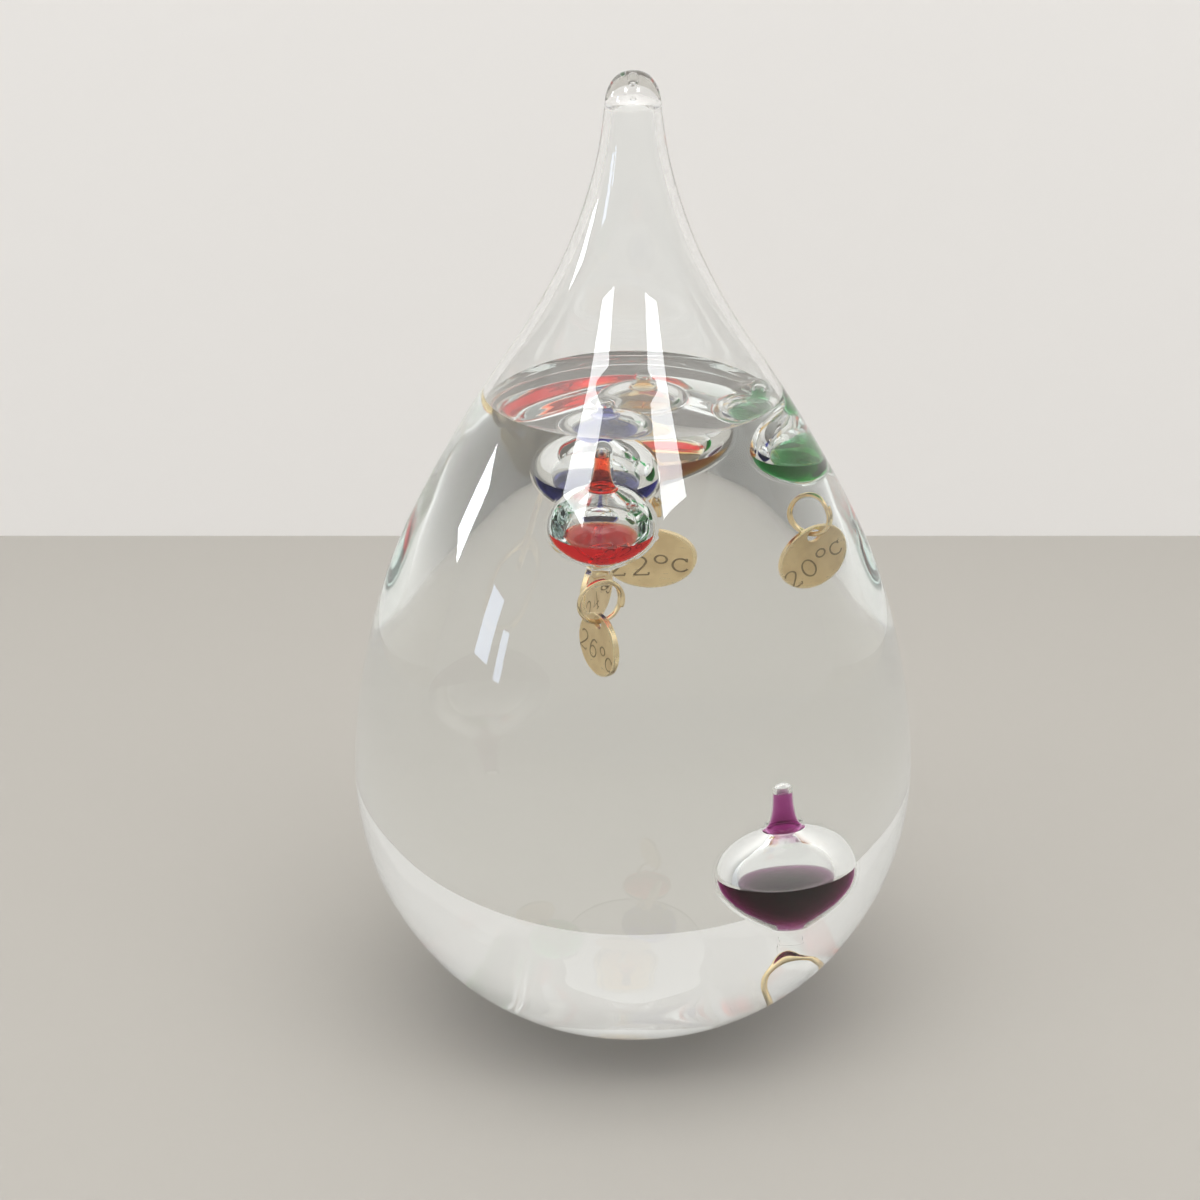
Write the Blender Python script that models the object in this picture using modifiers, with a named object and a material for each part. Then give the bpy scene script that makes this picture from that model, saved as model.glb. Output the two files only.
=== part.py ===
"""Teardrop Galileo thermometer: a sealed glass vessel of clear liquid in which five
weighted glass floats rise and sink with the temperature of the room.

Every float is a hollow blown bulb with its own dye, a slug of the same dye sealed into
its neck, and a brass temperature tag that hangs from a split ring through a glass eye.
Units are metres.  The base rests on Z = 0 and the vessel's axis is the Z axis.
"""
import math

import bmesh
import bpy

MM = 0.001

# ---- overall size -------------------------------------------------------------------
HEIGHT = 161.6 * MM                 # foot to sealed tip
BELLY_RADIUS = 47.5 * MM            # widest outer radius
WALL = 1.3 * MM                     # glass thickness of the vessel
FLOOR_THICKNESS = 3.0 * MM          # glass under the liquid
FIT_GAP = 0.3 * MM                  # clearance left between touching pieces
SEAL_GAP = 0.15 * MM                # clearance round what is sealed inside a float

# Outer outline of the vessel, foot to neck: share of belly radius, share of height.
VESSEL_OUTLINE = (
    (0.400, 0.0042), (0.460, 0.0116), (0.532, 0.0222), (0.604, 0.0355),
    (0.670, 0.0508), (0.734, 0.0686), (0.794, 0.0896), (0.848, 0.1132),
    (0.898, 0.1400), (0.945, 0.1720), (0.980, 0.2100), (0.998, 0.2500),
    (0.998, 0.2940), (0.980, 0.3480), (0.944, 0.4040), (0.893, 0.4600),
    (0.824, 0.5150), (0.738, 0.5680), (0.647, 0.6170), (0.552, 0.6640),
    (0.459, 0.7060), (0.374, 0.7430), (0.299, 0.7800), (0.235, 0.8170),
    (0.183, 0.8540), (0.142, 0.8910), (0.112, 0.9280), (0.094, 0.9653),
)
FOOT_RADIUS = 0.350 * BELLY_RADIUS  # flat disc the vessel stands on
LIQUID_LEVEL = 0.6735 * HEIGHT      # free surface of the clear liquid

# ---- one float, measured from the widest section of its bulb --------------------------
FLOAT_RADIUS = 0.1705 * BELLY_RADIUS
GLASS = 0.075 * FLOAT_RADIUS        # glass thickness of a bulb
BULB_OUTLINE = (                    # outer outline, neck rim to eye: shares of radius
    (0.185, 1.600), (0.195, 1.300), (0.225, 1.040), (0.295, 0.860), (0.480, 0.760),
    (0.690, 0.600), (0.890, 0.360), (1.000, 0.000), (0.930, -0.250), (0.740, -0.480),
    (0.430, -0.690), (0.210, -0.830), (0.120, -0.930),
)
NECK_BORE = 0.115 * FLOAT_RADIUS    # inside radius of the neck
NECK_FOOT = 0.930 * FLOAT_RADIUS    # height of the lower end of the neck slug
EYE_RADIUS = 0.205 * FLOAT_RADIUS   # glass bead under the bulb
EYE_DROP = 1.120 * FLOAT_RADIUS     # centre of the bead below the widest section
WIRE_RADIUS = 0.045 * FLOAT_RADIUS
EYE_HOLE = WIRE_RADIUS + 1.2 * FIT_GAP
RING_RADIUS = 0.407 * FLOAT_RADIUS  # centre line of the split ring
TAG_RADIUS = 0.600 * FLOAT_RADIUS
TAG_THICKNESS = 0.100 * FLOAT_RADIUS
TAG_HOLE = WIRE_RADIUS + 2.0 * FIT_GAP
TAG_HOLE_OFFSET = 0.430 * FLOAT_RADIUS   # hole centre above the middle of the tag
RING_LAP = 50.0                     # degrees by which the ends of the ring pass
RING_LAP_BLEND = 75.0               # degrees over which each end moves aside

# ---- where each float rides ------------------------------------------------------------
COLUMN_GAP = 1.0 * MM               # clear space between neighbouring floats
SIDE_BY_SIDE = 2.0 * FLOAT_RADIUS + COLUMN_GAP
TAG_CLEARANCE = 1.26 * MM           # lowest tag above the floor of the hollow
HANG = EYE_DROP + 2.0 * RING_RADIUS + 0.6 * FIT_GAP + TAG_HOLE_OFFSET + TAG_RADIUS
SUNK = FLOOR_THICKNESS + TAG_CLEARANCE + HANG
RAISED = LIQUID_LEVEL - BULB_OUTLINE[0][1] * FLOAT_RADIUS   # neck just at the surface
COLUMN_18 = (0.3537 * BELLY_RADIUS, 0.0630 * BELLY_RADIUS)
SIDE_Y = 0.0950 * BELLY_RADIUS          # the float to the right stands a little back
TRIO_X = -0.0940 * BELLY_RADIUS         # the middle and front floats stand left of the axis
SIDE_TUCK = 0.980 * FLOAT_RADIUS        # float radius that counts under the sloping wall
FRONT_TUCK = 1.254 * FLOAT_RADIUS

DYE_COLOURS = {
    "18": (0.060, 0.010, 0.055), "20": (0.010, 0.170, 0.060), "22": (0.330, 0.130, 0.020),
    "24": (0.010, 0.020, 0.280), "26": (0.620, 0.012, 0.008),
}

# ---- facets ---------------------------------------------------------------------------
VESSEL_SEGMENTS = 32
BULB_SEGMENTS = 14
DETAIL_SEGMENTS = 12
TAG_SEGMENTS = 20


def clear_scene():
    """Take every object out of the scene and make the two collections."""
    for item in list(bpy.data.objects):
        bpy.data.objects.remove(item, do_unlink=True)
    made = []
    for name in ("galileo_thermometer", "cutters"):
        group = bpy.data.collections.new(name)
        bpy.context.scene.collection.children.link(group)
        made.append(group)
    return made


def material(name, colour, roughness, metallic=0.0, transmission=0.0):
    """A plain Principled material."""
    made = bpy.data.materials.new(name)
    made.use_nodes = True
    shader = made.node_tree.nodes["Principled BSDF"]
    shader.inputs["Base Color"].default_value = (*colour, 1.0)
    shader.inputs["Roughness"].default_value = roughness
    shader.inputs["Metallic"].default_value = metallic
    shader.inputs["Transmission Weight"].default_value = transmission
    return made


def place(item, group, surface, location=(0.0, 0.0, 0.0), turn=0.0):
    """Link an object to its collection, colour it and set it where it belongs."""
    group.objects.link(item)
    if surface:
        item.data.materials.append(surface)
    item.location = location
    item.rotation_euler = (0.0, 0.0, turn)
    return item


def make_cutter(item):
    """Keep a cutting shape out of sight."""
    item.hide_render = True
    item.display_type = "WIRE"
    return item


def turned(name, profile, segments):
    """A body turned about Z from a profile that runs down its outer side."""
    mesh = bpy.data.meshes.new(name)
    points = [(radius, 0.0, height) for radius, height in profile]
    mesh.from_pydata(points, [(i, i + 1) for i in range(len(points) - 1)], [])
    item = bpy.data.objects.new(name, mesh)
    screw = item.modifiers.new("turn", "SCREW")
    screw.axis = "Z"
    screw.steps = screw.render_steps = segments
    screw.use_merge_vertices = True
    screw.merge_threshold = 0.000001
    screw.use_smooth_shade = True
    return item


def cut(item, cutter, label):
    """Take one solid away from another."""
    boolean = item.modifiers.new(label, "BOOLEAN")
    boolean.operation = "DIFFERENCE"
    boolean.solver = "EXACT"
    boolean.object = cutter


def smooth_line(points, pieces):
    """A Catmull-Rom line through the points, with so many pieces between neighbours."""
    padded = [points[0], *points, points[-1]]
    line = []
    for before, start, end, after in zip(padded, padded[1:], padded[2:], padded[3:]):
        for step in range(pieces):
            t = step / pieces
            line.append(tuple(
                0.5 * (2.0 * b + (c - a) * t + (2.0 * a - 5.0 * b + 4.0 * c - d) * t * t
                       + (3.0 * b - a - 3.0 * c + d) * t ** 3)
                for a, b, c, d in zip(before, start, end, after)))
    return [*line, points[-1]]


def inset(line, depth):
    """The line moved inwards (towards the axis side) by depth, along its normals."""
    moved = []
    for i, (radius, height) in enumerate(line):
        r0, z0 = line[max(i - 1, 0)]
        r1, z1 = line[min(i + 1, len(line) - 1)]
        length = math.hypot(r1 - r0, z1 - z0)
        moved.append((radius - depth * (z1 - z0) / length,
                      height + depth * (r1 - r0) / length))
    return moved


def vessel_line():
    """Outer outline of the vessel from the foot up to the rim of the fill tube."""
    points = [(r * BELLY_RADIUS, z * HEIGHT) for r, z in VESSEL_OUTLINE]
    return smooth_line(points, 1)


def inner_line(depth):
    """Outline of what lies so deep inside the vessel, from its floor up to the rim."""
    floor = FLOOR_THICKNESS + depth - WALL
    line = inset(vessel_line(), depth)
    above = [(r, z) for r, z in line if z > floor + 0.3 * WALL]
    return [(radius_at(line, floor), floor), *above]


def radius_at(line, height):
    """Radius of an outline at a height."""
    for (r0, z0), (r1, z1) in zip(line, line[1:]):
        if (z0 - height) * (z1 - height) <= 0.0 and z0 != z1:
            return r0 + (r1 - r0) * (height - z0) / (z1 - z0)
    raise ValueError("the outline does not reach that height")


def wall_beside(height):
    """Distance from the axis to the wall beside the shoulder of a float."""
    return radius_at(inner_line(WALL), height + 0.45 * FLOAT_RADIUS)


def float_places():
    """Tag, column x and y, height, dye fill, turn of the tag and of the ring."""
    heights = {"20": RAISED, "22": RAISED - 0.340 * FLOAT_RADIUS,
               "24": RAISED - 0.155 * FLOAT_RADIUS, "26": RAISED - 0.305 * FLOAT_RADIUS}
    side_x = math.sqrt((wall_beside(heights["20"]) - SIDE_TUCK) ** 2 - SIDE_Y ** 2)
    front_y = -math.sqrt((wall_beside(heights["26"]) - FRONT_TUCK) ** 2 - TRIO_X ** 2)
    middle_y = front_y + SIDE_BY_SIDE
    return (
        ("18", *COLUMN_18, SUNK, -0.030, 25.0, 25.0),
        ("20", side_x, SIDE_Y, heights["20"], -0.040, -50.0, -15.0),
        ("22", TRIO_X + 0.360 * SIDE_BY_SIDE, middle_y + 0.925 * SIDE_BY_SIDE,
         heights["22"], -0.110, 84.0, 84.0),
        ("24", TRIO_X, middle_y, heights["24"], -0.020, -22.0, -22.0),
        ("26", TRIO_X, front_y, heights["26"], -0.090, 28.0, 28.0))


# ---- vessel, its seal and the clear liquid ----------------------------------------------
def build_vessel(group, glass):
    """Blown teardrop shell, open only at the fill tube in its tip."""
    outer = vessel_line()
    inner = inner_line(WALL)
    rim = outer[-1]
    inside = [(0.0, FLOOR_THICKNESS), *inner[:-1], (rim[0] - WALL, rim[1])]
    outside = [*reversed(outer), (FOOT_RADIUS, 0.0), (0.0, 0.0)]
    place(turned("glass_vessel", inside + outside, VESSEL_SEGMENTS), group, glass)


def build_tip_seal(group, glass):
    """Melted glass tip that closes the fill tube, with a plug down its bore."""
    rim_radius, rim_height = vessel_line()[-1]
    shoulder = rim_height + FIT_GAP
    plug = rim_radius - WALL - FIT_GAP
    rise = HEIGHT - shoulder
    dome = [(rim_radius * math.cos(a), shoulder + rise * math.sin(a))
            for a in (math.radians(d) for d in (75, 58, 40, 22, 0))]
    profile = [(0.0, HEIGHT), *dome, (plug, shoulder),
               (0.92 * plug, rim_height - 3.0 * WALL), (0.5 * plug, rim_height - 3.4 * WALL),
               (0.0, rim_height - 3.5 * WALL)]
    place(turned("fill_tube_seal", profile, DETAIL_SEGMENTS * 2), group, glass)


def float_pocket(label, x, y, height, turn, top, bottom, group):
    """The room a float and its tag take up in the liquid."""
    clear = FIT_GAP
    body = inset([(r * FLOAT_RADIUS, z * FLOAT_RADIUS) for r, z in BULB_OUTLINE], clear)
    stem = body[0][0]
    hanger = RING_RADIUS + WIRE_RADIUS + 2.0 * clear
    tag = TAG_RADIUS + 2.0 * clear
    tag_top = -(EYE_DROP + 2.0 * RING_RADIUS - 0.4 * TAG_RADIUS)
    profile = [(0.0, top), (stem, top), *body[1:-2],
               (hanger, -0.80 * FLOAT_RADIUS), (hanger, tag_top), (tag, tag_top - clear),
               (tag, bottom), (0.0, bottom)]
    return place(make_cutter(turned("pocket_" + label, profile, BULB_SEGMENTS)),
                 group, None, (x, y, height), turn)


def build_liquid(group, cutters, surface):
    """Clear filling up to the free surface, with room left for every float."""
    line = inner_line(WALL + FIT_GAP)
    below = [(r, z) for r, z in line if z < LIQUID_LEVEL - FIT_GAP]
    profile = [(0.0, LIQUID_LEVEL), (radius_at(line, LIQUID_LEVEL), LIQUID_LEVEL),
               *reversed(below), (0.0, below[0][1])]
    liquid = place(turned("clear_liquid", profile, VESSEL_SEGMENTS), group, surface)
    for label, x, y, height, _fill, turn, _ring_turn in float_places():
        if height < 0.5 * LIQUID_LEVEL:
            top = (BULB_OUTLINE[0][1] + 0.25) * FLOAT_RADIUS
            low = -height
        else:
            top = LIQUID_LEVEL - height + FLOAT_RADIUS
            low = -HANG - 2.0 * FIT_GAP
        pocket = float_pocket(label, x, y, height, math.radians(turn), top, low, cutters)
        cut(liquid, pocket, "room_for_" + label)


# ---- one float ---------------------------------------------------------------------------
def bulb_lines():
    """Outer and inner outlines of a bulb, both from the neck down."""
    outer = [(r * FLOAT_RADIUS, z * FLOAT_RADIUS) for r, z in BULB_OUTLINE]
    inner = [(max(r, NECK_BORE), z) for r, z in inset(outer, -GLASS)]
    inner[0] = (NECK_BORE, outer[0][1])
    return outer, inner[:-1]


def build_bulb(label, place_at, turn, group, cutters, glass):
    """Blown bulb with an open neck above and a glass eye below."""
    outer, inner = bulb_lines()
    lowest = inner[-1][1]
    eye = [(EYE_RADIUS * math.cos(a), -EYE_DROP + EYE_RADIUS * math.sin(a))
           for a in (math.radians(d) for d in (40, 15, -10, -35, -62))]
    profile = [(0.0, lowest), *reversed(inner), *outer, *eye,
               (0.0, -EYE_DROP - EYE_RADIUS)]
    bulb = place(turned(f"float_{label}_bulb", profile, BULB_SEGMENTS),
                 group, glass, place_at, turn)
    mesh = bpy.data.meshes.new("eye_hole_" + label)
    shape = bmesh.new()
    bmesh.ops.create_cone(shape, cap_ends=True, segments=DETAIL_SEGMENTS,
                          radius1=EYE_HOLE, radius2=EYE_HOLE, depth=4.0 * EYE_RADIUS)
    shape.to_mesh(mesh)
    shape.free()
    hole = place(make_cutter(bpy.data.objects.new("eye_hole_" + label, mesh)), cutters,
                 None, (place_at[0], place_at[1], place_at[2] - EYE_DROP))
    hole.rotation_euler = (0.0, math.pi / 2.0, turn)
    cut(bulb, hole, "eye")


def build_neck_seal(label, place_at, group, glass):
    """Bead of glass melted over the end of the neck."""
    rim_radius, rim_height = (v * FLOAT_RADIUS for v in BULB_OUTLINE[0])
    seat = rim_height + SEAL_GAP
    plug = NECK_BORE - SEAL_GAP
    profile = [(0.0, seat + rim_radius * 0.85), (rim_radius * 0.55, seat + rim_radius * 0.70),
               (rim_radius * 0.92, seat + rim_radius * 0.30), (rim_radius, seat),
               (plug, seat), (plug, seat - 2.0 * plug), (0.0, seat - 2.4 * plug)]
    place(turned(f"float_{label}_neck_seal", profile, DETAIL_SEGMENTS),
          group, glass, place_at)


def build_dye(label, place_at, turn, fill, group, surface):
    """Pool of dye in the lower half of a bulb."""
    inner = inset(bulb_lines()[1], -SEAL_GAP)
    level = fill * FLOAT_RADIUS
    below = [(r, z) for r, z in inner if z < level - SEAL_GAP]
    profile = [(0.0, level), (radius_at(inner, level), level), *below, (0.0, below[-1][1])]
    place(turned(f"float_{label}_dye", profile, BULB_SEGMENTS), group, surface, place_at, turn)


def build_neck_dye(label, place_at, group, surface):
    """Slug of the same dye held in the neck."""
    radius = NECK_BORE - SEAL_GAP
    top = BULB_OUTLINE[0][1] * FLOAT_RADIUS - 3.2 * NECK_BORE
    profile = [(0.0, top + 0.4 * radius), (0.8 * radius, top), (radius, top - 0.5 * radius),
               (radius, NECK_FOOT + 0.5 * radius), (0.0, NECK_FOOT)]
    place(turned(f"float_{label}_neck_dye", profile, DETAIL_SEGMENTS),
          group, surface, place_at)


def build_split_ring(label, hinge, turn, group, brass):
    """Round wire ring whose two ends pass side by side; it hangs below its hinge."""
    aside = WIRE_RADIUS + 0.4 * FIT_GAP
    start, end = -0.5 * RING_LAP, 360.0 + 0.5 * RING_LAP
    steps = 28
    curve = bpy.data.curves.new("wire_" + label, "CURVE")
    curve.dimensions = "3D"
    curve.bevel_depth = WIRE_RADIUS
    curve.bevel_resolution = 1
    curve.use_fill_caps = True
    spline = curve.splines.new("POLY")
    spline.points.add(steps - 1)
    for point, i in zip(spline.points, range(steps)):
        degrees = start + (end - start) * i / (steps - 1)
        near_start = max(0.0, 1.0 - (degrees - start) / RING_LAP_BLEND)
        near_end = max(0.0, 1.0 - (end - degrees) / RING_LAP_BLEND)
        sideways = aside * (near_end ** 0.7 - near_start ** 0.7)
        angle = math.radians(degrees)
        point.co = (RING_RADIUS * math.cos(angle), sideways,
                    RING_RADIUS * math.sin(angle) - RING_RADIUS, 1.0)
    scratch = bpy.data.objects.new("wire_" + label, curve)
    mesh = bpy.data.meshes.new_from_object(scratch)
    bpy.data.objects.remove(scratch, do_unlink=True)
    ring = bpy.data.objects.new(f"float_{label}_split_ring", mesh)
    place(ring, group, brass, hinge, turn)
    ring.data.materials.clear()
    ring.data.materials.append(brass)


def build_tag(label, hinge, turn, group, brass):
    """Round brass disc with a hole near its edge; its face looks along the ring's wire."""
    drop = 0.6 * FIT_GAP + TAG_HOLE_OFFSET
    curve = bpy.data.curves.new("disc_" + label, "CURVE")
    curve.dimensions = "2D"
    curve.fill_mode = "BOTH"
    bevel = 0.12 * TAG_THICKNESS
    curve.extrude = 0.5 * TAG_THICKNESS - bevel
    curve.bevel_depth = bevel
    curve.bevel_resolution = 0
    for radius, middle, count in ((TAG_RADIUS - bevel, 0.0, TAG_SEGMENTS),
                                  (TAG_HOLE + bevel, TAG_HOLE_OFFSET, DETAIL_SEGMENTS)):
        spline = curve.splines.new("POLY")
        spline.points.add(count - 1)
        spline.use_cyclic_u = True
        for point, i in zip(spline.points, range(count)):
            angle = 2.0 * math.pi * i / count
            point.co = (radius * math.cos(angle),
                        radius * math.sin(angle) + middle - drop, 0.0, 1.0)
    scratch = bpy.data.objects.new("disc_" + label, curve)
    mesh = bpy.data.meshes.new_from_object(scratch)
    bpy.data.objects.remove(scratch, do_unlink=True)
    shape = bmesh.new()
    shape.from_mesh(mesh)
    bmesh.ops.remove_doubles(shape, verts=shape.verts, dist=0.000001)
    for vertex in shape.verts:
        across, up, through = vertex.co
        vertex.co = (through, across, up)
    bmesh.ops.recalc_face_normals(shape, faces=shape.faces)
    shape.to_mesh(mesh)
    shape.free()
    tag = bpy.data.objects.new(f"float_{label}_tag", mesh)
    place(tag, group, brass, hinge, turn)
    tag.data.materials.clear()
    tag.data.materials.append(brass)


def build_float(spec, group, cutters, glass, wire, plate):
    """One complete float: bulb, seal, both bodies of dye, split ring and tag."""
    label, x, y, height, fill, tag_degrees, ring_degrees = spec
    tag_turn, turn = math.radians(tag_degrees), math.radians(ring_degrees)
    dye = material("dye_" + label, DYE_COLOURS[label], 0.05)
    middle = (x, y, height)
    ring_hinge = (x, y, height - EYE_DROP)
    tag_hinge = (x, y, height - EYE_DROP - 2.0 * RING_RADIUS)
    build_bulb(label, middle, turn, group, cutters, glass)
    build_neck_seal(label, middle, group, glass)
    build_dye(label, middle, turn, fill, group, dye)
    build_neck_dye(label, middle, group, dye)
    build_split_ring(label, ring_hinge, turn, group, wire)
    build_tag(label, tag_hinge, tag_turn, group, plate)


# ---- the whole thermometer -----------------------------------------------------------------
def build():
    """Vessel, seal, liquid and the five floats."""
    group, cutters = clear_scene()
    vessel_glass = material("vessel_glass", (0.93, 0.95, 0.95), 0.02, transmission=1.0)
    float_glass = material("float_glass", (0.90, 0.93, 0.92), 0.03, transmission=1.0)
    clear = material("clear_filling", (0.85, 0.88, 0.90), 0.0, transmission=1.0)
    wire = material("gilt_wire", (0.55, 0.42, 0.20), 0.25, metallic=1.0)
    plate = material("stamped_brass", (0.62, 0.46, 0.24), 0.35, metallic=1.0)
    build_vessel(group, vessel_glass)
    build_tip_seal(group, vessel_glass)
    build_liquid(group, cutters, clear)
    for spec in float_places():
        build_float(spec, group, cutters, float_glass, wire, plate)


build()
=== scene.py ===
import math

import bmesh
import bpy
from mathutils import Matrix, Vector


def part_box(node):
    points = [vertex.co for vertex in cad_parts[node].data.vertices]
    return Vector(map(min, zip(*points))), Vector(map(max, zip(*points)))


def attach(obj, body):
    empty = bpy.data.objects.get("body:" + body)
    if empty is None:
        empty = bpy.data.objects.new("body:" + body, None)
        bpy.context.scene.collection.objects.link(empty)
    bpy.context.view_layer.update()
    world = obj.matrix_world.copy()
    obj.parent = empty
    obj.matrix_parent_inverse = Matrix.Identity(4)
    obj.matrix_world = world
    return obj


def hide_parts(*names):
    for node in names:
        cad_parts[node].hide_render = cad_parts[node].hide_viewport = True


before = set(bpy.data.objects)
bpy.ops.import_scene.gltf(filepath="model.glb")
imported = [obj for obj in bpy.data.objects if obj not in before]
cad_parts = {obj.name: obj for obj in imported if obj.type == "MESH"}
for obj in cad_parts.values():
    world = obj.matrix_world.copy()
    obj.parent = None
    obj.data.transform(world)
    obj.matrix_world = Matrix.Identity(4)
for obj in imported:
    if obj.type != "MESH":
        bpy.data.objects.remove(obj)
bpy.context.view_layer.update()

# ---- Vessel -------------------------------------------------------------------------
# One bubble of clear borosilicate glass, blown and spun to a teardrop and pressed flat
# underneath while soft.  Wall 1.3 mm, floor 3 mm.  Where the filling wets it the inside
# face bends light only slightly, so it has its own slot below the contact line.

vessel_low, vessel_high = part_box("glass_vessel")
belly = (vessel_high.x - vessel_low.x) / 2
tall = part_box("fill_tube_seal")[1].z
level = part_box("clear_liquid")[1].z
wall = 0.0013
floor_top = 0.0030
foot_flat, foot_edge, foot_rise = 0.350 * belly, 0.378 * belly, 0.0018 * tall
bend_start, bend_rise = 0.70, 0.0058    # inside corner: share of its radius, and height
wetting = 0.0006                        # how far the filling climbs the glass
glass_ior, filling_ior, dye_ior = 1.47, 1.45, 1.42


def smooth_line(points, pieces):
    """Catmull-Rom line through the points."""
    padded = [points[0], *points, points[-1]]
    line = []
    for a, b, c, d in zip(padded, padded[1:], padded[2:], padded[3:]):
        for step in range(pieces):
            t = step / pieces
            line.append(tuple(
                0.5 * (2 * q + (r - p) * t + (2 * p - 5 * q + 4 * r - s) * t * t
                       + (3 * q - p - 3 * r + s) * t ** 3)
                for p, q, r, s in zip(a, b, c, d)))
    return [*line, points[-1]]


def inset(line, depth):
    """A line moved along its normals, towards the axis side when depth is positive."""
    moved = []
    for i, (r, z) in enumerate(line):
        (r0, z0), (r1, z1) = line[max(i - 1, 0)], line[min(i + 1, len(line) - 1)]
        length = math.hypot(r1 - r0, z1 - z0)
        moved.append((r - depth * (z1 - z0) / length, z + depth * (r1 - r0) / length))
    return moved


def radius_at(line, z):
    """Radius of a line where it first crosses a height."""
    for (r0, z0), (r1, z1) in zip(line, line[1:]):
        if (z0 - z) * (z1 - z) <= 0 and z0 != z1:
            return r0 + (r1 - r0) * (z - z0) / (z1 - z0)
    return line[-1][0]


def between(line, low, high):
    """The part of a rising line between two heights, cut exactly at both."""
    inside = [(r, z) for r, z in line if low + 1e-6 < z < high - 1e-6]
    return [(radius_at(line, low), low), *inside, (radius_at(line, high), high)]


def lathe(name, profiles, segments, centre=(0, 0, 0)):
    """Turned surface from (profile, slot) pairs; each profile runs down its outer side."""
    made = bmesh.new()
    for profile, slot in profiles:
        rings = []
        for r, z in profile:
            if r < 1e-7:
                rings.append([made.verts.new((0, 0, z))] * segments)
            else:
                rings.append([made.verts.new((r * math.cos(a), r * math.sin(a), z)) for a in
                              (2 * math.pi * k / segments for k in range(segments))])
        for upper, lower in zip(rings, rings[1:]):
            for k in range(segments):
                n = (k + 1) % segments
                corners = []
                for v in (upper[k], lower[k], lower[n], upper[n]):
                    if v not in corners:
                        corners.append(v)
                if len(corners) > 2:
                    face = made.faces.new(corners)
                    face.material_index, face.smooth = slot, True
    bmesh.ops.remove_doubles(made, verts=made.verts, dist=1e-7)
    mesh = bpy.data.meshes.new(name)
    made.to_mesh(mesh)
    made.free()
    piece = bpy.data.objects.new(name, mesh)
    piece.location = centre
    bpy.context.scene.collection.objects.link(piece)
    return piece


class Signal:
    """A shader socket that takes part in ordinary Python sums."""

    def __init__(self, graph, socket):
        self.graph, self.socket = graph, socket

    def maths(self, operation, *others):
        return self.graph.node("ShaderNodeMath", {"operation": operation}, self, *others)

    def __add__(self, other): return self.maths("ADD", other)
    def __sub__(self, other): return self.maths("SUBTRACT", other)
    def __mul__(self, other): return self.maths("MULTIPLY", other)
    def __pow__(self, other): return self.maths("POWER", other)
    def __rsub__(self, other): return self * -1.0 + other
    __radd__, __rmul__ = __add__, __mul__

    def step(self, low, high):
        """0 below low, 1 above high, smooth between."""
        return self.graph.node("ShaderNodeMapRange", {"interpolation_type": "SMOOTHSTEP"},
                               self, low, high, 0.0, 1.0)


class Graph:
    """The nodes of one material, or of the room round the object."""

    def __init__(self, name, room=None):
        self.owner = room or bpy.data.materials.new(name)
        self.owner.use_nodes = True
        self.tree = self.owner.node_tree
        self.tree.nodes.clear()

    def node(self, kind, settings=None, *values, out=0, **named):
        """Add a node: its settings first, then its sockets by place or by name."""
        made = self.tree.nodes.new(kind)
        for key, value in (settings or {}).items():
            setattr(made, key, value)
        for key, value in [*enumerate(values), *named.items()]:
            socket = made.inputs[key if isinstance(key, int) else key.replace("_", " ")]
            if isinstance(value, Signal):
                self.tree.links.new(value.socket, socket)
            elif value is not None:
                socket.default_value = value
        return Signal(self, made.outputs[out]) if made.outputs else None

    def place(self):
        """Where a point is on its piece, in metres."""
        return self.node("ShaderNodeTexCoord", out=3)

    def axis(self, vector, which):
        return self.node("ShaderNodeSeparateXYZ", None, vector, out=which)

    def noise(self, vector, scale, detail=3.0, rough=0.5):
        return self.node("ShaderNodeTexNoise", None, Vector=vector, Scale=scale,
                         Detail=detail, Roughness=rough)

    def mix(self, share, low, high):
        """Blend two colours.  The five sockets between are for numbers and vectors."""
        return self.node("ShaderNodeMix", {"data_type": "RGBA"},
                         share, *[None] * 5, low, high, out=2)

    def bump(self, height, strength, distance):
        return self.node("ShaderNodeBump", None, Strength=strength, Distance=distance,
                         Height=height)

    def finish(self, surface, volume=None, output="ShaderNodeOutputMaterial"):
        self.node(output, None, Surface=surface, Volume=volume)
        return self.owner


def clear_glass(name, ior, tint, waves, handling):
    """Blown glass: slow draw lines in the surface and, where hands reach, faint smears."""
    g = Graph(name)
    where = g.place()
    stretched = g.node("ShaderNodeVectorMath", {"operation": "MULTIPLY"}, where,
                       (1.0, 1.0, 0.35))
    drawn = g.noise(stretched, 55.0, 1.0)
    smear = g.noise(where, 420.0, 4.0, 0.65).step(0.55, 0.80)
    rough = smear * handling
    normal = g.bump(drawn, waves, 0.0004)
    shader = g.node("ShaderNodeBsdfPrincipled", None, Base_Color=tint, IOR=ior,
                    Roughness=rough, Normal=normal, Transmission_Weight=1.0)
    return g.finish(shader)


def dress(piece, slot, body, node, *materials):
    """Give a piece its materials and its body, and hide the CAD node it stands for. The slot is
    not used.
    """
    for material in materials:
        piece.data.materials.append(material)
    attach(piece, body)
    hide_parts(node)
    return piece


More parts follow.
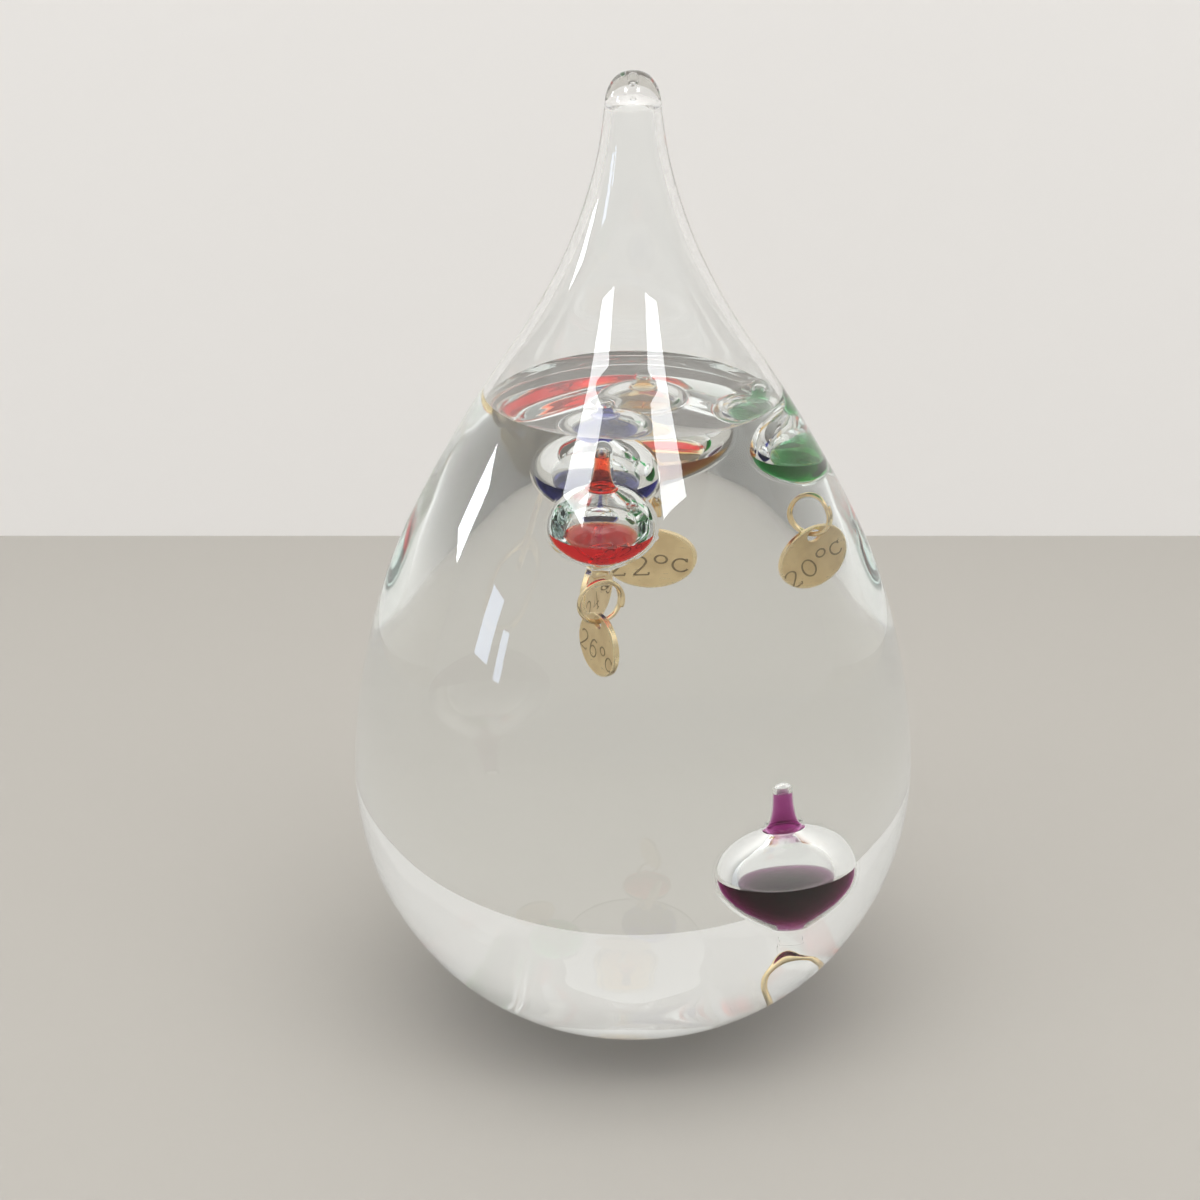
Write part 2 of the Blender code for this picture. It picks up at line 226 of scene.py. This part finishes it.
outline = [(share * belly, up * tall) for share, up in (
    (0.400, 0.0042), (0.460, 0.0116), (0.532, 0.0222), (0.604, 0.0355),
    (0.670, 0.0508), (0.734, 0.0686), (0.794, 0.0896), (0.848, 0.1132),
    (0.898, 0.1400), (0.945, 0.1720), (0.980, 0.2100), (0.998, 0.2500),
    (0.998, 0.2940), (0.980, 0.3480), (0.944, 0.4040), (0.893, 0.4600),
    (0.824, 0.5150), (0.738, 0.5680), (0.647, 0.6170), (0.552, 0.6640),
    (0.459, 0.7060), (0.374, 0.7430), (0.299, 0.7800), (0.235, 0.8170),
    (0.183, 0.8540), (0.142, 0.8910), (0.112, 0.9280), (0.094, 0.9653))]
outer = smooth_line(outline, 5)
inner = inset(outer, wall)
rim = outer[-1]
foot = [(foot_flat, 0.0), (foot_edge, foot_rise)]
contact = level + wetting
dry = between(inner, contact, inner[-1][1])
corner = radius_at(inner, floor_top)
bend_top = floor_top + bend_rise
bend_out = radius_at(inner, bend_top)
bend = [((1 - t) ** 2 * bend_start * corner + 2 * t * (1 - t) * corner + t * t * bend_out,
         (1 - t * t) * floor_top + t * t * bend_top) for t in (k / 12 for k in range(12))]
wet = [*bend, *between(inner, bend_top, contact)]

shell_glass = clear_glass("vessel_glass", glass_ior, (0.985, 0.995, 0.992, 1), 0.05, 0.05)
wetted_glass = clear_glass("vessel_glass_wetted", glass_ior / filling_ior,
                           (0.99, 1.0, 0.998, 1), 0.04, 0.0)
vessel = lathe("blown_vessel", [
    ([*reversed(outer), *reversed(foot), (0.0, 0.0)], 0),
    (dry, 0),
    ([(0.0, floor_top), *wet], 1)], 128)
dress(vessel, "vessel_glass", "vessel", "glass_vessel", shell_glass, wetted_glass)

# ---- Melted tip ---------------------------------------------------------------------
# The fill tube is closed in the flame, so the last 6 mm are solid and rounded, the bore
# ends in a cone and a small bubble stays caught in the glass.

bore = dry[-1][0]
shoulder = [(rim[0] * math.cos(a) ** 0.8, rim[1] + (tall - rim[1]) * math.sin(a))
            for a in (math.radians(d) for d in range(85, 0, -5))]
cone = [(bore, rim[1]), (0.86 * bore, rim[1] + 0.0007), (0.55 * bore, rim[1] + 0.0013),
        (0.22 * bore, rim[1] + 0.0017), (0.0, rim[1] + 0.0018)]
bubble = [(0.0007 * math.sin(a), tall - 0.0019 - 0.0010 * math.cos(a))
          for a in (math.pi * k / 12 for k in range(13))]
tip = lathe("melted_tip", [
    ([(0.0, tall), *shoulder, rim], 0), (cone, 0), (bubble, 0)], 48)
dress(tip, "vessel_glass", "vessel", "fill_tube_seal", shell_glass)

# ---- Clear filling ------------------------------------------------------------------
# A light colourless oil up to two thirds of the height.  Its free surface curls up where
# it meets the glass and swells slightly over each float neck just under it.

curl_reach, swell_reach = 0.0012, 0.0024    # how far in a curl or swell dies away
film, least_swell = 0.0003, 0.0002          # filling left over a neck
into_glass = 0.00003                        # the surface ends just inside the wall
surface_rings = 44
necks = []
for label in ("20", "22", "24", "26"):
    low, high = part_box(f"float_{label}_neck_seal")
    necks.append(((low.x + high.x) / 2, (low.y + high.y) / 2,
                  max(least_swell, high.z - level + film)))


def surface_height(x, y, edge):
    """Height of the free surface at a point."""
    curl = wetting * math.exp(-(edge - math.hypot(x, y)) / curl_reach)
    swell = sum(lift * math.exp(-((x - u) ** 2 + (y - v) ** 2) / swell_reach ** 2)
                for u, v, lift in necks)
    return level + curl + swell


g = Graph("filling_surface")
still = g.noise(g.place(), 90.0, 1.0)
filling_surface = g.finish(g.node(
    "ShaderNodeBsdfPrincipled", None, Base_Color=(0.995, 1.0, 1.0, 1), IOR=filling_ior,
    Roughness=0.0, Transmission_Weight=1.0, Normal=g.bump(still, 0.02, 0.0003)))
g = Graph("filling_against_glass")
filling_side = g.finish(g.node("ShaderNodeBsdfTransparent"))

edge = radius_at(inner, contact) + into_glass
spread = [edge * (1 - (1 - k / surface_rings) ** 1.6) for k in range(surface_rings + 1)]
top = [(r, 0.0) for r in spread]
sides = [(edge, 0.0), *[(r, z - level) for r, z in reversed(wet) if z < level],
         (0.0, floor_top - level)]
filling = lathe("clear_filling", [(top, 0), (sides, 1)], 160)
for vertex in filling.data.vertices:
    x, y, z = vertex.co
    vertex.co.z = surface_height(x, y, edge) if z > -1e-9 else z + level
dress(filling, "clear_filling", "vessel", "clear_liquid", filling_surface, filling_side)

# ---- Floats: blown bulbs ------------------------------------------------------------
# Each float is a thin bulb blown from drawn tube, 16 mm across with a 0.4 mm wall.  The
# tube's end is left on top as a neck, and the glass below is pinched to a small eye.

low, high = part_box("float_18_bulb")
big = (high.x - low.x) / 2
thin = 0.050 * big
neck_bore = 0.115 * big
bulb_outline = [(r * big, z * big) for r, z in (
    (0.185, 1.600), (0.190, 1.430), (0.198, 1.250), (0.225, 1.040), (0.285, 0.880),
    (0.430, 0.785), (0.640, 0.655), (0.830, 0.470), (0.950, 0.250), (1.000, 0.000),
    (0.950, -0.240), (0.790, -0.450), (0.570, -0.620), (0.350, -0.755), (0.210, -0.850),
    (0.160, -0.920))]
bulb_outer = smooth_line(bulb_outline, 5)
bulb_inner = [(max(r, neck_bore), z) for r, z in inset(bulb_outer, -thin)]
bulb_rising = list(reversed(bulb_inner))
bulb_floor = -0.775 * big
eye_drop, eye_radius, eye_squash = 1.120 * big, 0.205 * big, 0.98
wire = 0.045 * big
eye_play, eye_flare = 0.00036, 0.0005   # room round the wire, and the hole's trumpet
ring_radius = 0.407 * big
slug_low, slug_high = 0.800 * big, 1.490 * big
dye_climb = 0.00035                     # how far the dye climbs the bulb

floats = {                      # turns of tag and ring, dye level, dye and its strength
    "18": {"turn": 25, "ring": 25, "fill": -0.03, "slot": "dye_purple",
           "dye": (0.68, 0.03, 0.56), "strength": 1200, "writing": (1, 6)},
    "20": {"turn": -50, "ring": -15, "fill": -0.04, "slot": "dye_green",
           "dye": (0.0, 0.78, 0.34), "strength": 900, "writing": (1, 24)},
    "22": {"turn": 84, "ring": 84, "fill": -0.11, "slot": "dye_amber",
           "dye": (0.93, 0.66, 0.08), "strength": 520, "writing": (-1, 5)},
    "24": {"turn": -22, "ring": -22, "fill": -0.02, "slot": "dye_blue",
           "dye": (0.01, 0.04, 0.74), "strength": 1100, "writing": (1, 12)},
    "26": {"turn": 28, "ring": 28, "fill": -0.09, "slot": "dye_red",
           "dye": (0.99, 0.34, 0.0), "strength": 1500, "writing": (-1, -14)},
}
for label, spec in floats.items():
    low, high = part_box(f"float_{label}_bulb")
    spec["at"] = ((low.x + high.x) / 2, (low.y + high.y) / 2, low.z + eye_drop + eye_radius)

bulb_wet = clear_glass("float_glass", glass_ior / filling_ior, (0.985, 0.995, 0.99, 1),
                       0.05, 0.0)
bulb_dry = clear_glass("float_glass_inside", glass_ior, (0.99, 1.0, 0.995, 1), 0.05, 0.0)
bulb_dyed = clear_glass("float_glass_dyed", glass_ior / dye_ior, (1, 1, 1, 1), 0.04, 0.0)


def pierced_eye(name, turn):
    """Flattened drop of glass with a flared hole through it."""
    waist_r, waist_z = bulb_outer[-1]
    ball = [(eye_radius * math.cos(a), -eye_drop + eye_squash * eye_radius * math.sin(a))
            for a in (math.radians(d) for d in range(44, -90, -7))]
    drop = lathe(name, [([(0.0, waist_z + 1e-5), (waist_r, waist_z), *ball,
                          (0.0, -eye_drop - eye_squash * eye_radius)], 0)], 48)
    half = eye_radius * 1.05
    flare = [(wire + eye_play + eye_flare * abs(k / 8) ** 3, half * k / 8)
             for k in range(8, -9, -1)]
    drill = lathe(name + "_drill", [([(0, half), *flare, (0, -half)], 0)], 32,
                  (0, 0, -eye_drop))
    drill.rotation_euler = (0, math.pi / 2, 0)
    boolean = drop.modifiers.new("eye", "BOOLEAN")
    boolean.solver, boolean.object = "EXACT", drill
    bpy.context.view_layer.update()
    cut = bpy.data.meshes.new_from_object(
        drop.evaluated_get(bpy.context.evaluated_depsgraph_get()))
    for item in (drop, drill):
        bpy.data.objects.remove(item, do_unlink=True)
    return cut


for label, spec in floats.items():
    fill = spec["fill"] * big + dye_climb
    turn = math.radians(spec["ring"])
    pieces = [(bulb_outer, 0)]
    for start, end, slot in ((bulb_floor, fill, 2), (fill, slug_low, 1),
                             (slug_low, slug_high, 2), (slug_high, bulb_outer[0][1], 1)):
        part = between(bulb_rising, start, end)
        if start == bulb_floor:
            part = [(0.0, bulb_floor), *part]
        pieces.append((part, slot))
    bulb = lathe(f"bulb_{label}", pieces, 72)
    eye = pierced_eye(f"eye_{label}", turn)
    grown = bmesh.new()
    grown.from_mesh(bulb.data)
    grown.from_mesh(eye)
    grown.to_mesh(bulb.data)
    grown.free()
    for face in bulb.data.polygons:
        face.use_smooth = True
    bulb.location = spec["at"]
    bulb.rotation_euler = (0, 0, turn)
    dress(bulb, "float_glass", f"float_{label}", f"float_{label}_bulb",
          bulb_wet, bulb_dry, bulb_dyed)

# ---- Floats: sealed necks -----------------------------------------------------------
# The neck is melted shut over the last of the dye, which leaves a clear rounded cap.

cap_r, cap_z = bulb_outer[0]
cap = [(cap_r * math.cos(a) ** 0.9, cap_z + 0.95 * cap_r * math.sin(a))
       for a in (math.radians(d) for d in range(84, 0, -7))]
cap = [(0.0, cap_z + 0.95 * cap_r), *cap, (cap_r, cap_z)]
hollow = [(neck_bore, cap_z), (0.8 * neck_bore, cap_z + 0.25 * neck_bore),
          (0.4 * neck_bore, cap_z + 0.45 * neck_bore), (0.0, cap_z + 0.5 * neck_bore)]
for label, spec in floats.items():
    bead = lathe(f"neck_bead_{label}", [(cap, 0), (hollow, 1)], 40, spec["at"])
    dress(bead, "float_glass", f"float_{label}", f"float_{label}_neck_seal",
          bulb_wet, bulb_dry)

# ---- Floats: dye --------------------------------------------------------------------
# Alcohol coloured with a clear dye, so it darkens with depth.  One pool sets the
# weight of the float, and a slug of it is held in the neck.

pool_edge, climb_reach = 0.00034, 0.0006
slug_dip, slug_dome = 0.0004, 0.0003

def dye_material(label, colour, strength, level):
    """Clear dyed spirit: only its free surface reflects, the colour is in its depth."""
    g = Graph("dye_" + label)
    up = g.axis(g.place(), 2)
    upward = g.axis(g.node("ShaderNodeNewGeometry", out=1), 2)
    steep = (upward * upward).step(0.25, 0.45)
    free = steep * up.step(level - 0.0003, level - 0.0001)
    surface = g.node("ShaderNodeBsdfPrincipled", None, Base_Color=(1, 1, 1, 1), IOR=dye_ior,
                     Roughness=0.0, Transmission_Weight=1.0)
    through = g.node("ShaderNodeBsdfTransparent")
    both = g.node("ShaderNodeMixShader", None, free, through, surface)
    depth = g.node("ShaderNodeVolumeAbsorption", None, Density=strength,
                   Color=(*colour, 1))
    return g.finish(both, depth)


for label, spec in floats.items():
    fill = spec["fill"] * big
    dye = dye_material(label, spec["dye"], spec["strength"], fill)
    body = f"float_{label}"
    brim = radius_at(bulb_rising, fill) + 0.00001
    meniscus = [(brim * k / 14,
                 fill + dye_climb * math.exp(-brim * (1 - k / 14) / climb_reach))
                for k in range(15)]
    under = list(reversed(between(bulb_rising, bulb_floor, fill + pool_edge)))
    pool = lathe(f"dye_pool_{label}", [([*meniscus, *under, (0.0, bulb_floor)], 0)], 64,
                 spec["at"])
    dress(pool, spec["slot"], body, f"float_{label}_dye", dye)
    tube = between(bulb_rising, slug_low, slug_high)
    foot_r, head_r = tube[0][0], tube[-1][0]
    head = [(head_r * k / 6, slug_high - slug_dip * (1 - (k / 6) ** 2)) for k in range(6)]
    base = [(foot_r * k / 8, slug_low + slug_dome * (1 - (k / 8) ** 2))
            for k in range(7, -1, -1)]
    slug = lathe(f"dye_slug_{label}", [([*head, *reversed(tube), *base], 0)], 40, spec["at"])
    dress(slug, spec["slot"], body, f"float_{label}_neck_dye", dye)

# ---- Floats: split rings ------------------------------------------------------------
# Gilt wire 0.7 mm thick, wound once and a little over, so its cut ends lie side by side.
# The finish is bright with fine draw lines and dulls where the wire was gripped.

g = Graph("gilt_wire")
where = g.place()
streak = g.noise(where, 1400.0, 2.0)
dull = g.noise(where, 260.0, 3.0).step(0.45, 0.75)
gilt = g.finish(g.node(
    "ShaderNodeBsdfPrincipled", None,
    Base_Color=g.mix(dull, (0.90, 0.73, 0.44, 1), (0.62, 0.47, 0.26, 1)),
    Metallic=1.0, Roughness=dull * 0.18 + 0.14,
    Normal=g.bump(streak, 0.15, 0.00002)))

lap, ease = 50.0, 75.0          # degrees the ends pass each other, and take to part
ring_steps, wire_sides = 140, 14


def wound_wire():
    """Middle line of the ring: once round and a lap over, the ends set side by side."""
    path = []
    for k in range(ring_steps + 1):
        degrees = -0.5 * lap + (360 + lap) * k / ring_steps
        near_start = max(0.0, 1 - (degrees + 0.5 * lap) / ease) ** 0.7
        near_end = max(0.0, 1 - (360 + 0.5 * lap - degrees) / ease) ** 0.7
        a = math.radians(degrees)
        path.append((ring_radius * math.cos(a), (wire + 0.00006) * (near_end - near_start),
                     ring_radius * math.sin(a) - ring_radius - eye_drop))
    return path


def split_ring(name):
    """Round wire along that line, its cut ends slightly rounded off."""
    path = wound_wire()
    tube = bmesh.new()
    loops = []
    for k, point in enumerate(path):
        ahead, behind = path[min(k + 1, ring_steps)], path[max(k - 1, 0)]
        along = [p - q for p, q in zip(ahead, behind)]
        length = math.sqrt(sum(v * v for v in along))
        along = [v / length for v in along]
        out = (point[0] / ring_radius, 0.0, (point[2] + eye_drop + ring_radius) / ring_radius)
        side = (along[1] * out[2] - along[2] * out[1], along[2] * out[0] - along[0] * out[2],
                along[0] * out[1] - along[1] * out[0])
        end = min(k, ring_steps - k)
        size = wire * (0.72 if end == 0 else 0.93 if end == 1 else 1.0)
        loops.append([tube.verts.new([
            p + size * (math.cos(b) * o + math.sin(b) * s)
            for p, o, s in zip(point, out, side)])
            for b in (2 * math.pi * m / wire_sides for m in range(wire_sides))])
    for first, second in zip(loops, loops[1:]):
        for m in range(wire_sides):
            n = (m + 1) % wire_sides
            tube.faces.new((first[m], first[n], second[n], second[m]))
    tube.faces.new(loops[0])
    tube.faces.new(reversed(loops[-1]))
    bmesh.ops.recalc_face_normals(tube, faces=tube.faces)
    mesh = bpy.data.meshes.new(name)
    tube.to_mesh(mesh)
    tube.free()
    for face in mesh.polygons:
        face.use_smooth = len(face.vertices) < 5
    ring = bpy.data.objects.new(name, mesh)
    bpy.context.scene.collection.objects.link(ring)
    return ring


for label, spec in floats.items():
    ring = split_ring(f"split_ring_{label}")
    ring.location, ring.rotation_euler = spec["at"], (0, 0, math.radians(spec["ring"]))
    dress(ring, "gilt_wire", f"float_{label}_ring", f"float_{label}_split_ring", gilt)

# ---- Floats: temperature tags -------------------------------------------------------
# Discs punched from 0.8 mm brass sheet, 9.7 mm across, with a hole for the ring and the
# temperature struck into one side with line punches.

tag_radius, tag_half = 0.600 * big, 0.050 * big
hole_up, hole_size = 0.430 * big, wire + 0.0006
punch = 0.00013                 # half the width of a struck line
text_high, text_drop = 0.0031, 0.0011
letter_gap, sign_gap = 0.22, 0.10       # after a numeral, and after the degree sign
low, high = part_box("float_22_tag")
tag_middle = (low.z + high.z) / 2 - floats["22"]["at"][2]


def arc(x, y, rx, ry, start, end, steps=14):
    """Points along an ellipse."""
    return [(x + rx * math.cos(math.radians(start + (end - start) * k / steps)),
             y + ry * math.sin(math.radians(start + (end - start) * k / steps)))
            for k in range(steps + 1)]


strokes = {                     # each numeral in a box 0.6 wide and 1 high
    "0": (0.60, [arc(0.30, 0.50, 0.27, 0.48, 90, 450, 26)]),
    "2": (0.58, [[*arc(0.28, 0.74, 0.24, 0.24, 165, -25, 12), (0.40, 0.46), (0.05, 0.04)],
                 [(0.03, 0.02), (0.54, 0.02), (0.56, 0.14)]]),
    "4": (0.62, [[(0.44, 0.02), (0.44, 0.98), (0.03, 0.32), (0.60, 0.32)],
                 [(0.32, 0.02), (0.56, 0.02)]]),
    "6": (0.60, [[(0.50, 0.92), *arc(0.36, 0.50, 0.31, 0.47, 100, 180, 9), (0.05, 0.34)],
                 arc(0.30, 0.31, 0.25, 0.29, 90, 450, 20)]),
    "8": (0.60, [arc(0.30, 0.75, 0.20, 0.22, 90, 450, 18),
                 arc(0.30, 0.27, 0.25, 0.26, 90, 450, 20)]),
    "1": (0.42, [[(0.06, 0.82), (0.22, 0.98), (0.22, 0.02)], [(0.08, 0.02), (0.36, 0.02)]]),
    "o": (0.44, [arc(0.22, 0.80, 0.20, 0.21, 90, 450, 18)]),
    "C": (0.60, [arc(0.32, 0.44, 0.27, 0.34, 40, 320, 20), [(0.55, 0.76), (0.53, 0.58)]]),
}


def tube_along(into, points, size):
    """Closed round stroke along a flat line, for cutting numerals."""
    loops = []
    for k, (y, z) in enumerate(points):
        (y0, z0), (y1, z1) = points[max(k - 1, 0)], points[min(k + 1, len(points) - 1)]
        if points[0] == points[-1] and k in (0, len(points) - 1):
            (y0, z0), (y1, z1) = points[-2], points[1]
        length = math.hypot(y1 - y0, z1 - z0)
        ny, nz = -(z1 - z0) / length, (y1 - y0) / length
        loops.append([into.verts.new((size * math.sin(b), y + ny * size * math.cos(b),
                                      z + nz * size * math.cos(b)))
                      for b in (math.pi * m / 4 for m in range(8))])
    closed = points[0] == points[-1]
    if closed:
        bmesh.ops.delete(into, geom=loops.pop(), context="VERTS")
        loops.append(loops[0])
    for first, second in zip(loops, loops[1:]):
        for m in range(8):
            into.faces.new((first[m], first[(m + 1) % 8], second[(m + 1) % 8], second[m]))
    if not closed:
        into.faces.new(loops[0])
        into.faces.new(reversed(loops[-1]))


g = Graph("stamped_brass")
where = g.place()
x, y, z = (g.axis(where, k) for k in range(3))
off_centre = (y ** 2.0 + (z - tag_middle) ** 2.0) ** 0.5
worn_rim = off_centre.step(0.90 * tag_radius, 0.995 * tag_radius)
tone = g.noise(where, 420.0, 4.0).step(0.35, 0.70)
grain = g.noise(g.node("ShaderNodeVectorMath", {"operation": "MULTIPLY"}, where,
                       (1.0, 0.12, 1.0)), 9000.0, 2.0)
speck = g.noise(where, 2600.0, 2.0).step(0.66, 0.74)
colour = g.mix(tone, (0.88, 0.69, 0.39, 1), (0.80, 0.61, 0.33, 1))
colour = g.mix(speck * 0.3, colour, (0.44, 0.33, 0.20, 1))
colour = g.mix(worn_rim * 0.7, colour, (0.95, 0.79, 0.49, 1))
brass = g.finish(g.node(
    "ShaderNodeBsdfPrincipled", None, Base_Color=colour, Metallic=1.0,
    Roughness=tone * 0.10 + grain * 0.10 + 0.24 - worn_rim * 0.08,
    Normal=g.bump(grain, 0.25, 0.00003)))
# The struck lines are coloured darker than the brass round them: painted shade in the grooves,
# mottled by noise.
g = Graph("struck_line")
groove_shade_mottle = g.noise(g.place(), 3000.0, 2.0)
struck = g.finish(g.node(
    "ShaderNodeBsdfPrincipled", None, Metallic=1.0, Roughness=groove_shade_mottle * 0.3 + 0.35,
    Base_Color=g.mix(groove_shade_mottle, (0.34, 0.25, 0.13, 1), (0.52, 0.40, 0.22, 1))))

def tag_blank(name):
    """Punched disc with its edge just broken."""
    profile = [(0.0, tag_half), (tag_radius - 0.00010, tag_half),
               (tag_radius - 0.00003, tag_half - 0.00004), (tag_radius, tag_half - 0.00012),
               (tag_radius, 0.00012 - tag_half), (tag_radius - 0.00003, 0.00004 - tag_half),
               (tag_radius - 0.00010, -tag_half), (0.0, -tag_half)]
    disc = lathe(name, [(profile, 0)], 96)
    disc.data.transform(Matrix.Rotation(math.pi / 2, 4, "Y"))
    return disc


def ring_drill():
    """Cutter for the ring's hole, countersunk a little on both sides."""
    profile = [(0.0, 0.001), (hole_size + 0.0002, 0.001), (hole_size + 0.00006, tag_half),
               (hole_size, tag_half - 0.00008), (hole_size, 0.00008 - tag_half),
               (hole_size + 0.00006, -tag_half), (hole_size + 0.0002, -0.001),
               (0.0, -0.001)]
    drill = lathe("tag_drill", [(profile, 0)], 32)
    drill.data.transform(Matrix.Rotation(math.pi / 2, 4, "Y"))
    drill.location = (0, 0, hole_up)
    return drill


def numeral_punch(label, facing, lean):
    """Cutter for the temperature, on the side that it faces and leaning as struck."""
    text = [*label, "o", "C"]
    width = (sum(strokes[c][0] for c in text) + 0.62) * text_high
    s, t = math.sin(math.radians(lean)), math.cos(math.radians(lean))
    cutter = bmesh.new()
    across = -width / 2
    for c in text:
        cell, lines = strokes[c]
        for line in lines:
            flat = [(across + u * text_high, (v - 0.5) * text_high) for u, v in line]
            placed = [(facing * (u * t - v * s), u * s + v * t - text_drop) for u, v in flat]
            if math.dist(line[0], line[-1]) < 1e-6:
                placed[-1] = placed[0]
            tube_along(cutter, placed, punch)
        across += (cell + (letter_gap if c != "o" else sign_gap)) * text_high
    bmesh.ops.recalc_face_normals(cutter, faces=cutter.faces)
    bmesh.ops.translate(cutter, verts=cutter.verts, vec=(facing * (tag_half + 0.00001), 0, 0))
    mesh = bpy.data.meshes.new("numerals")
    cutter.to_mesh(mesh)
    cutter.free()
    numerals = bpy.data.objects.new("numerals", mesh)
    bpy.context.scene.collection.objects.link(numerals)
    return numerals


for label, spec in floats.items():
    disc = tag_blank(f"tag_{label}")
    drill = ring_drill()
    numerals = numeral_punch(label, *spec["writing"])
    for item, material in ((disc, brass), (drill, brass), (numerals, struck)):
        item.data.materials.append(material)
    for item in (drill, numerals):
        boolean = disc.modifiers.new(item.name, "BOOLEAN")
        boolean.solver, boolean.object = "EXACT", item
        boolean.use_self = item is numerals
        boolean.material_mode = "TRANSFER"
    bpy.context.view_layer.update()
    done = bpy.data.meshes.new_from_object(
        disc.evaluated_get(bpy.context.evaluated_depsgraph_get()))
    disc.modifiers.clear()
    disc.data = done
    for item in (drill, numerals):
        bpy.data.objects.remove(item, do_unlink=True)
    for face in disc.data.polygons:
        face.use_smooth = False
    disc.data.transform(Matrix.Translation((0, 0, tag_middle)))
    disc.location, disc.rotation_euler = spec["at"], (0, 0, math.radians(spec["turn"]))
    dress(disc, "stamped_brass", f"float_{label}_tag_plate", f"float_{label}_tag")

# ---- Floor, backdrop, light and camera ----------------------------------------------
# A plain pale table top meets a plain pale wall.  The room, a panel overhead and a wash
# on the wall light them; the five smaller panels show only as reflections in the glass.
# The glow under the foot stands in for light that the vessel gathers and lets down there.

lit_inside, lit_outside = 0.0155, 0.0210

def plane(name, corners, material):
    mesh = bpy.data.meshes.new(name)
    mesh.from_pydata(corners, [], [tuple(range(len(corners)))])
    item = bpy.data.objects.new(name, mesh)
    bpy.context.scene.collection.objects.link(item)
    item.data.materials.append(material)


g = Graph("table_top")
where = g.place()
from_axis = (g.axis(where, 0) ** 2.0 + g.axis(where, 1) ** 2.0) ** 0.5
through_glass = g.mix(from_axis.step(lit_inside, lit_outside), (0.11, 0.10, 0.09, 1), (0, 0, 0, 1))
table = g.finish(g.node("ShaderNodeBsdfPrincipled", None, Base_Color=(0.395, 0.380, 0.352, 1),
                        Roughness=0.75, Specular_IOR_Level=0.2,
                        Emission_Color=through_glass, Emission_Strength=1.0))
plane("table_top", [(-3, -3, 0), (3, -3, 0), (3, 3, 0), (-3, 3, 0)], table)

g = Graph("wall_paint")
behind = g.node("ShaderNodeNewGeometry", out=6)
paint = g.node("ShaderNodeBsdfPrincipled", None, Base_Color=(0.84, 0.83, 0.815, 1),
               Roughness=0.9, Specular_IOR_Level=0.1)
clear = g.node("ShaderNodeBsdfTransparent")
wall_paint = g.finish(g.node("ShaderNodeMixShader", None, behind, paint, clear))
plane("wall", [(3, 0.22, -0.01), (3, 0.22, 2), (-3, 0.22, 2), (-3, 0.22, -0.01)],
      wall_paint)

world = bpy.data.worlds.new("room")
bpy.context.scene.world = world
room = Graph("room", world)
direction = room.node("ShaderNodeTexCoord", out=0)
up = room.axis(direction, 2)
ahead = room.axis(direction, 1)
high_up = up.step(0.05, 0.85)
shade = room.mix(high_up, (0.42, 0.42, 0.43, 1), (1.10, 1.09, 1.07, 1))
front = room.mix(high_up, (0.34, 0.34, 0.35, 1), (0.85, 0.84, 0.83, 1))
shade = room.mix(ahead.step(-0.75, 0.15), front, shade)
glow = room.node("ShaderNodeBackground", None, shade, 1.3)
room.finish(glow, output="ShaderNodeOutputWorld")


def panel(name, azimuth, elevation, distance, size, power, colour, gloss):
    """Flat lamp that faces the vessel from a direction measured from the front."""
    lamp = bpy.data.lights.new(name, "AREA")
    lamp.shape, lamp.energy, lamp.color = "RECTANGLE", power, colour
    lamp.size, lamp.size_y = size
    item = bpy.data.objects.new(name, lamp)
    bpy.context.scene.collection.objects.link(item)
    a, e = math.radians(azimuth), math.radians(elevation)
    away = Vector((math.sin(a) * math.cos(e), -math.cos(a) * math.cos(e), math.sin(e)))
    item.location = away * distance + Vector((0, 0, 0.11))
    item.rotation_euler = away.to_track_quat("Z", "Y").to_euler()
    item.visible_glossy = gloss
    item.visible_diffuse = not gloss
    item.visible_transmission = False
    return item


panel("overhead", 10, 78, 1.6, (1.5, 1.1), 10.0, (1, 0.98, 0.95), False)
wash = panel("wall_wash", 0, 35, 1.1, (1.6, 0.4), 3.6, (1, 0.99, 0.98), False)
wash.location = (0, -0.35, 0.75)
wash.rotation_euler = (math.radians(78), 0, 0)
panel("ceiling_panel_left", -39.5, 41, 1.5, (0.36, 0.32), 5.5, (0.95, 0.97, 1), True)
panel("ceiling_panel_right", 28, 43, 1.5, (0.36, 0.32), 5.5, (0.95, 0.97, 1), True)
panel("window_left", -69.0, 12.5, 1.5, (0.20, 0.32), 1.7, (0.62, 0.75, 1), True)
panel("window_left_pane", -59.5, 9.4, 1.5, (0.09, 0.24), 0.55, (0.62, 0.75, 1), True)
panel("side_light_left", -103.0, 14.6, 0.8, (0.15, 0.11), 1.1, (0.92, 0.95, 1), True)

camera_at, camera_pitch = (0, -0.400, 0.239), 22.5      # metres; degrees below level
focal_length, sensor, sideways = 77.7, 36, -0.0275      # mm; share of the picture's width
lens = bpy.data.cameras.new("camera")
lens.lens, lens.sensor_width, lens.shift_x = focal_length, sensor, sideways
lens.clip_start = 0.01
camera = bpy.data.objects.new("camera", lens)
bpy.context.scene.collection.objects.link(camera)
camera.location = camera_at
camera.rotation_euler = (math.radians(90 - camera_pitch), 0, 0)
bpy.context.scene.camera = camera
bpy.context.scene.view_settings.view_transform = "Standard"
cycles = bpy.context.scene.cycles   # light is caught many times over inside the bulbs
cycles.max_bounces = cycles.transmission_bounces = cycles.glossy_bounces = 128
cycles.transparent_max_bounces = 128
